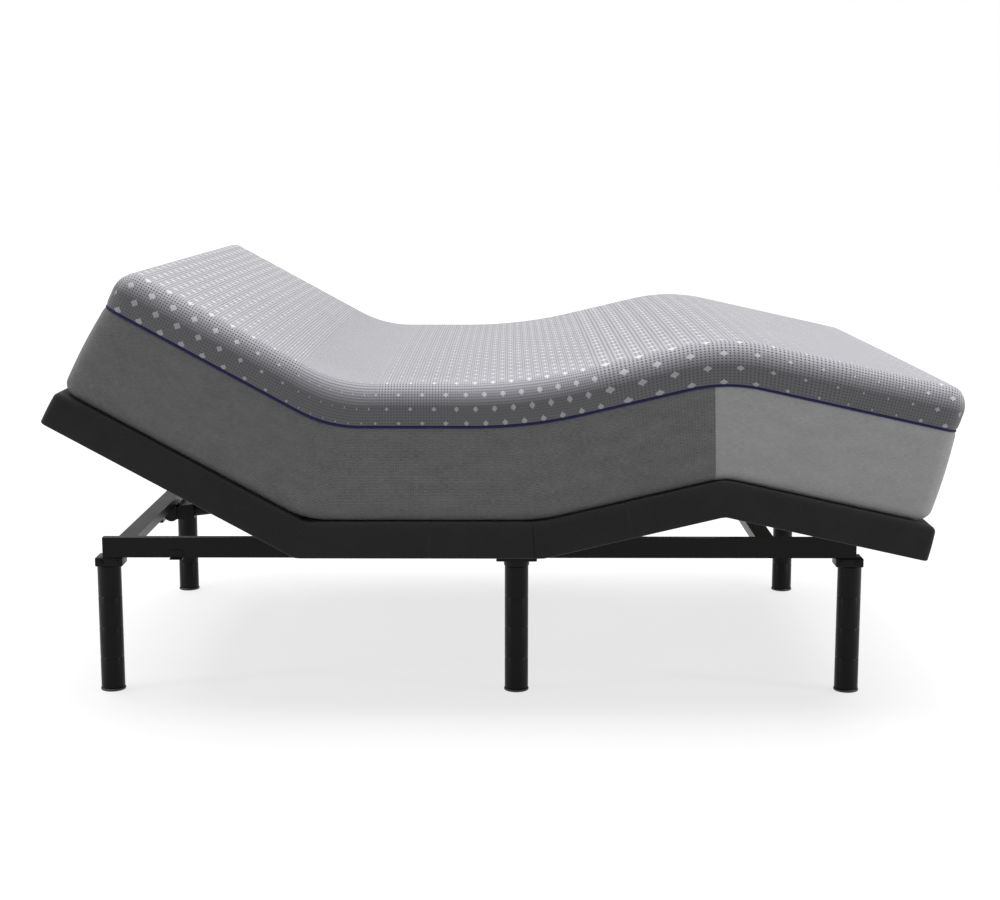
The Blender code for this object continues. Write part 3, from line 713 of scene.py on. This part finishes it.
deckForm = {
    "low": bedLine["deckBase"], "high": bedLine["deckTop"],
    "from": -bedLine["headLength"], "to": thighEnd + bedLine["footLength"],
    "half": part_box("seat_cover")[1].y - deckLook["belly"],
    "corner": 0.014, "topEdge": 0.012, "bottomEdge": 0.004, "lean": 0,
    "sideOut": deckSideOut,
    "crown": lambda along, across, height: 0.0,
    "bends": [(0.030, 0.045, 0.006, 0.012), (0.035, 0.045, 0.008, 0.024),
              (0.030, 0.035, 0.006, 0.014)],
}


def makeDeck(form, look):
    half, corner, fine = form["half"], form["corner"], look["edgePitch"]
    lowEdge, topEdge = form["low"] + form["bottomEdge"], form["high"] - form["topEdge"]
    acrosses = chain(steps(-half, corner - half, fine),
                     steps(corner - half, half - corner, look["acrossPitch"]),
                     steps(half - corner, half, fine))
    heights = chain(steps(form["low"], lowEdge, 0.002), steps(lowEdge, topEdge, 0.010),
                    steps(topEdge, form["high"], 0.003))
    seam = look["seamAt"]
    seamSteps = [seam + n * look["seamHalf"] / 2 for n in range(-4, 5)]
    ends = [form["from"], *cuts, form["to"]]
    covers = [("head_cover",), ("seat_cover", "thigh_cover"), ("foot_cover",)]
    for index, name in enumerate(bendNames):
        start, end = ends[index], ends[index + 1]
        alongs = chain(steps(start, start + corner, fine),
                       steps(start + corner, end - corner, look["pitch"]),
                       steps(end - corner, end, fine))
        if start < seam < end:
            clear = [place for place in alongs if abs(place - seam) > 2.6 * look["seamHalf"]]
            alongs = sorted(clear + seamSteps)
        openFaces = ["bottom"]
        if index > 0:
            openFaces.append("headEnd")
        if index < 2:
            openFaces.append("footEnd")
        piece = buildBlock("deck_cover_" + name, form, alongs, acrosses, heights, deckTwill, openFaces)
        shell = piece.modifiers.new("shell", "SOLIDIFY")
        shell.thickness = look["shell"]
        shell.offset = -1
        applyModifiers(piece)
        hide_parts(*covers[index])
        bendWith(piece)


makeDeck(deckForm, deckLook)
print("deck covers are on")

# mattress: lengths in metres
mattressLook = {
    "gap": 0.0003,                    # above the deck
    "thickness": 0.310,
    "pipingHeight": 0.215,
    "inset": 0.014,
    "footLean": 3.0,                  # degrees
    "pitch": 0.0125,
    "borderSeam": thighEnd - 0.018,   # where the dark border meets the light one
    "sideSwell": 0.004,
    "bandSwell": 0.003,
    "seamPull": 0.003,
    "seamDepth": 0.0015,
    "crown": 0.008,
    "pipingRadius": 0.0030,
    "blends": (0.16, 0.13, 0.19),     # how far each bend reaches into the cloth
}
mattressLow = bedLine["deckTop"] + mattressLook["gap"]
mattressHigh = mattressLow + mattressLook["thickness"]
pipingHigh = mattressLow + mattressLook["pipingHeight"]


def mattressSideOut(along, height):
    look = mattressLook
    if height < pipingHigh:
        share, swell = (height - mattressLow) / (pipingHigh - mattressLow), look["sideSwell"]
        seam = math.exp(-((along - look["borderSeam"]) / 0.004) ** 2)
    else:
        share, swell = (height - pipingHigh) / (mattressHigh - pipingHigh), look["bandSwell"]
        seam = 0
    pull = math.exp(-((height - pipingHigh) / 0.006) ** 2)
    return (swell * math.sin(math.pi * clamp(share, 0, 1)) - look["seamPull"] * pull
            - look["seamDepth"] * seam)


def mattressCrown(along, across, height):
    share = clamp((height - pipingHigh) / (mattressHigh - pipingHigh), 0, 1)
    middle = (mattressForm["from"] + mattressForm["to"]) / 2
    run = (mattressForm["to"] - mattressForm["from"]) / 2
    fall = (1 - (across / mattressForm["half"]) ** 2) * (1 - abs((along - middle) / run) ** 6)
    return mattressLook["crown"] * share * max(fall, 0)


mattressForm = {
    "low": mattressLow, "high": mattressHigh,
    "from": -bedLine["headLength"] + 0.4 * mattressLook["inset"],
    "to": thighEnd + bedLine["footLength"] - mattressLook["inset"],
    "half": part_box("mattress_seat")[1].y,
    "corner": 0.036, "topEdge": 0.052, "bottomEdge": 0.030,
    "lean": mattressLook["footLean"],
    "sideOut": mattressSideOut,
    "crown": mattressCrown,
    "bends": [(0.15, 0.190, 0.055, 0.080), (0.20, 0.204, 0.050, 0.155),
              (0.16, 0.200, 0.030, 0.110)],
}


# the tape round the mattress, between the knit and the border
def makePiping(part, form, look, alongs):
    name = "mattress_piping_" + part
    half, corner = form["half"], 0.05
    acrosses = chain(steps(-half, corner - half, 0.006), steps(corner - half, half - corner, 0.04),
                     steps(half - corner, half, 0.006))
    right = [(along, -half) for along in alongs]
    left = [(along, half) for along in alongs]
    if part == "head":
        runs = [right[::-1] + [(alongs[0], across) for across in acrosses[1:-1]] + left]
    elif part == "foot":
        runs = [right + [(alongs[-1], across) for across in acrosses[1:-1]] + left[::-1]]
    else:
        runs = [right, left]
    curve = bpy.data.curves.new(name, "CURVE")
    curve.dimensions = "3D"
    curve.bevel_depth = look["pipingRadius"]
    curve.bevel_resolution = 3
    curve.use_fill_caps = True
    for run in runs:
        points = [shapedPoint(form, along, across, pipingHigh) for along, across in run]
        spline = curve.splines.new("POLY")
        spline.points.add(len(points) - 1)
        for target, point in zip(spline.points, points):
            target.co = (*point, 1)
    source = bpy.data.objects.new(name + "_line", curve)
    scene.collection.objects.link(source)
    bpy.context.view_layer.update()
    graph = bpy.context.evaluated_depsgraph_get()
    mesh = bpy.data.meshes.new_from_object(source.evaluated_get(graph))
    bpy.data.objects.remove(source)
    work = bmesh.new()
    work.from_mesh(mesh)
    bmesh.ops.remove_doubles(work, verts=work.verts, dist=0.00002)
    for face in work.faces:
        face.smooth = True
    work.to_mesh(mesh)
    work.free()
    mesh.materials.clear()
    mesh.materials.append(pipingTape)
    piece = bpy.data.objects.new(name, mesh)
    scene.collection.objects.link(piece)
    return piece


def makeMattress(form, look):
    half, corner = form["half"], 0.054
    acrosses = chain(steps(-half, corner - half, 0.009), steps(corner - half, half - corner, 0.022),
                     steps(half - corner, half, 0.009))
    borderHeights = chain(steps(form["low"], form["low"] + 0.028, 0.007),
                          steps(form["low"] + 0.028, pipingHigh - 0.012, 0.02),
                          steps(pipingHigh - 0.012, pipingHigh, 0.003))
    bandHeights = chain(steps(pipingHigh, pipingHigh + 0.012, 0.003),
                        steps(pipingHigh + 0.012, form["high"] - 0.052, 0.015),
                        steps(form["high"] - 0.052, form["high"], 0.0065))
    ends = [form["from"], *cuts, form["to"]]
    stands = [("mattress_head",), ("mattress_seat", "mattress_thigh"), ("mattress_foot",)]
    seam = look["borderSeam"]
    for index, name in enumerate(bendNames):
        start, end = ends[index], ends[index + 1]
        alongs = steps(start, end, look["pitch"])
        if start < seam < end:
            nearSeam = [seam + step for step in (-0.008, -0.004, -0.002, 0, 0.002, 0.004, 0.008)]
            alongs = sorted([place for place in alongs if abs(place - seam) > 0.012] + nearSeam)
        top = buildBlock("mattress_knit_" + name, form, alongs, acrosses, bandHeights, knit)
        made = [(top, "mattress_top")]
        if start < seam < end:
            dark = [place for place in alongs if place <= seam + 1e-6]
            light = [place for place in alongs if place >= seam - 1e-6]
            borders = [("knee", dark, darkBorder, "mattress_border"),
                       ("foot", light, lightBorder, "mattress_foot_border")]
        else:
            borders = [(name, alongs, darkBorder, "mattress_border")]
        for borderName, run, cloth, slotName in borders:
            border = buildBlock("mattress_border_" + borderName, form, run, acrosses,
                                borderHeights, cloth)
            made.append((border, slotName))
        made.append((makePiping(name, form, look, alongs), "mattress_piping"))
        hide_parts(*stands[index])
        for piece, slotName in made:
            bendWith(piece)


makeMattress(mattressForm, mattressLook)
print("mattress is laid")

# legs, glides and brackets: lengths in metres
legLook = {
    "lengths": 4,              # screwed together, with a groove at each join
    "ringDepth": 0.0006,
    "ringHalf": 0.0011,
    "round": 0.0016,
    "glideRim": 0.0015,
    "gap": 0.0003,
    "sides": 72,
    "bracketRound": 0.0028,
    "middlePlate": 0.008,
    "cupWall": 0.002,
    "boltRadius": 0.0065,
    "boltHeight": 0.0035,
    "boltShift": 0.3,          # share of the bracket's length to each side
}


def lathe(work, profile, centre, sides):
    rings = []
    for radius, height in profile:
        if radius < 1e-6:
            rings.append([work.verts.new((centre.x, centre.y, height))])
            continue
        turns = [2 * math.pi * n / sides for n in range(sides)]
        rings.append([work.verts.new((centre.x + radius * math.cos(turn),
                                      centre.y + radius * math.sin(turn), height)) for turn in turns])
    for lower, upper in zip(rings, rings[1:]):
        for n in range(sides):
            after = (n + 1) % sides
            if len(lower) == 1:
                corners = [lower[0], upper[after], upper[n]]
            elif len(upper) == 1:
                corners = [lower[n], lower[after], upper[0]]
            else:
                corners = [lower[n], lower[after], upper[after], upper[n]]
            work.faces.new(corners)


def roundedBox(work, low, high, radius):
    made = bmesh.ops.create_cube(work, size=1.0, matrix=Matrix.Translation((low + high) / 2)
                                 @ Matrix.Diagonal((*(high - low), 1.0)))
    edges = {edge for vertex in made["verts"] for edge in vertex.link_edges}
    bmesh.ops.bevel(work, geom=list(edges), offset=radius, segments=3, profile=0.5, affect="EDGES")


# a finer piece in place of a plain one on the frame
def fitOnFrame(name, work, finish, sharp, node):
    mesh = bpy.data.meshes.new(name)
    bmesh.ops.recalc_face_normals(work, faces=work.faces)
    work.to_mesh(mesh)
    work.free()
    mesh.shade_smooth()
    mesh.set_sharp_from_angle(angle=math.radians(sharp))
    mesh.materials.append(finish)
    piece = bpy.data.objects.new(name, mesh)
    scene.collection.objects.link(piece)
    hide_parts(node)
    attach(piece, "frame")


# from the tube's top down to its foot
def legProfile(low, high, radius, look):
    turn, half, depth = look["round"], look["ringHalf"], look["ringDepth"]
    points = [(0, high), (radius - turn, high), (radius - 0.3 * turn, high - 0.3 * turn),
              (radius, high - turn)]
    for join in range(1, look["lengths"]):
        height = low + (high - low) * (1 - join / look["lengths"])
        points += [(radius, height + 2 * half), (radius - 0.4 * depth, height + half),
                   (radius - depth, height), (radius - 0.4 * depth, height - half),
                   (radius, height - 2 * half)]
    return points + [(radius, low + turn), (radius - turn, low), (0, low)]


def glideProfile(low, high, radius, rim):
    return [(0, low), (radius - rim, low), (radius - 0.3 * rim, low + 0.3 * rim),
            (radius, low + rim), (radius, high - rim), (radius - rim, high), (0, high)]


def addBolts(work, low, high, out, look):
    for shift in (-look["boltShift"], look["boltShift"]):
        spot = (low + high) / 2
        spot.x += shift * (high.x - low.x)
        spot.y = (high.y if out > 0 else low.y) + out * look["boltHeight"] / 3
        bmesh.ops.create_cone(work, cap_ends=True, segments=6, radius1=look["boltRadius"],
                              radius2=look["boltRadius"] * 0.92, depth=look["boltHeight"],
                              matrix=Matrix.Translation(spot)
                              @ Matrix.Rotation(-out * math.pi / 2, 4, "X"))


def makeLegs(look):
    places = [name[len("leg_"):] for name in nodes if name.startswith("leg_")
              and "bracket" not in name and "glide" not in name]
    for place in places:
        low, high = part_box("leg_" + place)
        glideLow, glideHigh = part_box("leg_glide_" + place)
        bracketLow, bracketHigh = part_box("leg_bracket_" + place)
        centre = (low + high) / 2
        radius = (high.y - low.y) / 2
        gap = look["gap"]

        work = bmesh.new()
        profile = legProfile(low.z, bracketLow.z - gap, radius, look)
        lathe(work, profile[::-1], centre, look["sides"])
        fitOnFrame("fine_leg_" + place, work, legPaint, 18, "leg_" + place)

        work = bmesh.new()
        footRadius = (glideHigh.y - glideLow.y) / 2
        lathe(work, glideProfile(glideLow.z, low.z - gap, footRadius, look["glideRim"]),
              centre, look["sides"])
        fitOnFrame("fine_glide_" + place, work, mouldedPlastic, 18, "leg_glide_" + place)

        work = bmesh.new()
        if place.startswith("middle"):      # a plate with a cup under it
            plateLow = Vector((bracketLow.x, bracketLow.y, bracketHigh.z - look["middlePlate"]))
            roundedBox(work, plateLow, bracketHigh, look["bracketRound"] * 0.7)
            cup, turn, cupTop = radius + look["cupWall"], 0.001, plateLow.z + 0.001
            lathe(work, [(0, bracketLow.z), (cup - turn, bracketLow.z), (cup, bracketLow.z + turn),
                         (cup, cupTop), (0, cupTop)], centre, look["sides"])
        else:
            roundedBox(work, bracketLow, bracketHigh, look["bracketRound"])
            addBolts(work, bracketLow, bracketHigh, -1 if centre.y < 0 else 1, look)
        fitOnFrame("fine_bracket_" + place, work, framePaint, 30, "leg_bracket_" + place)


makeLegs(legLook)
print("legs are on")
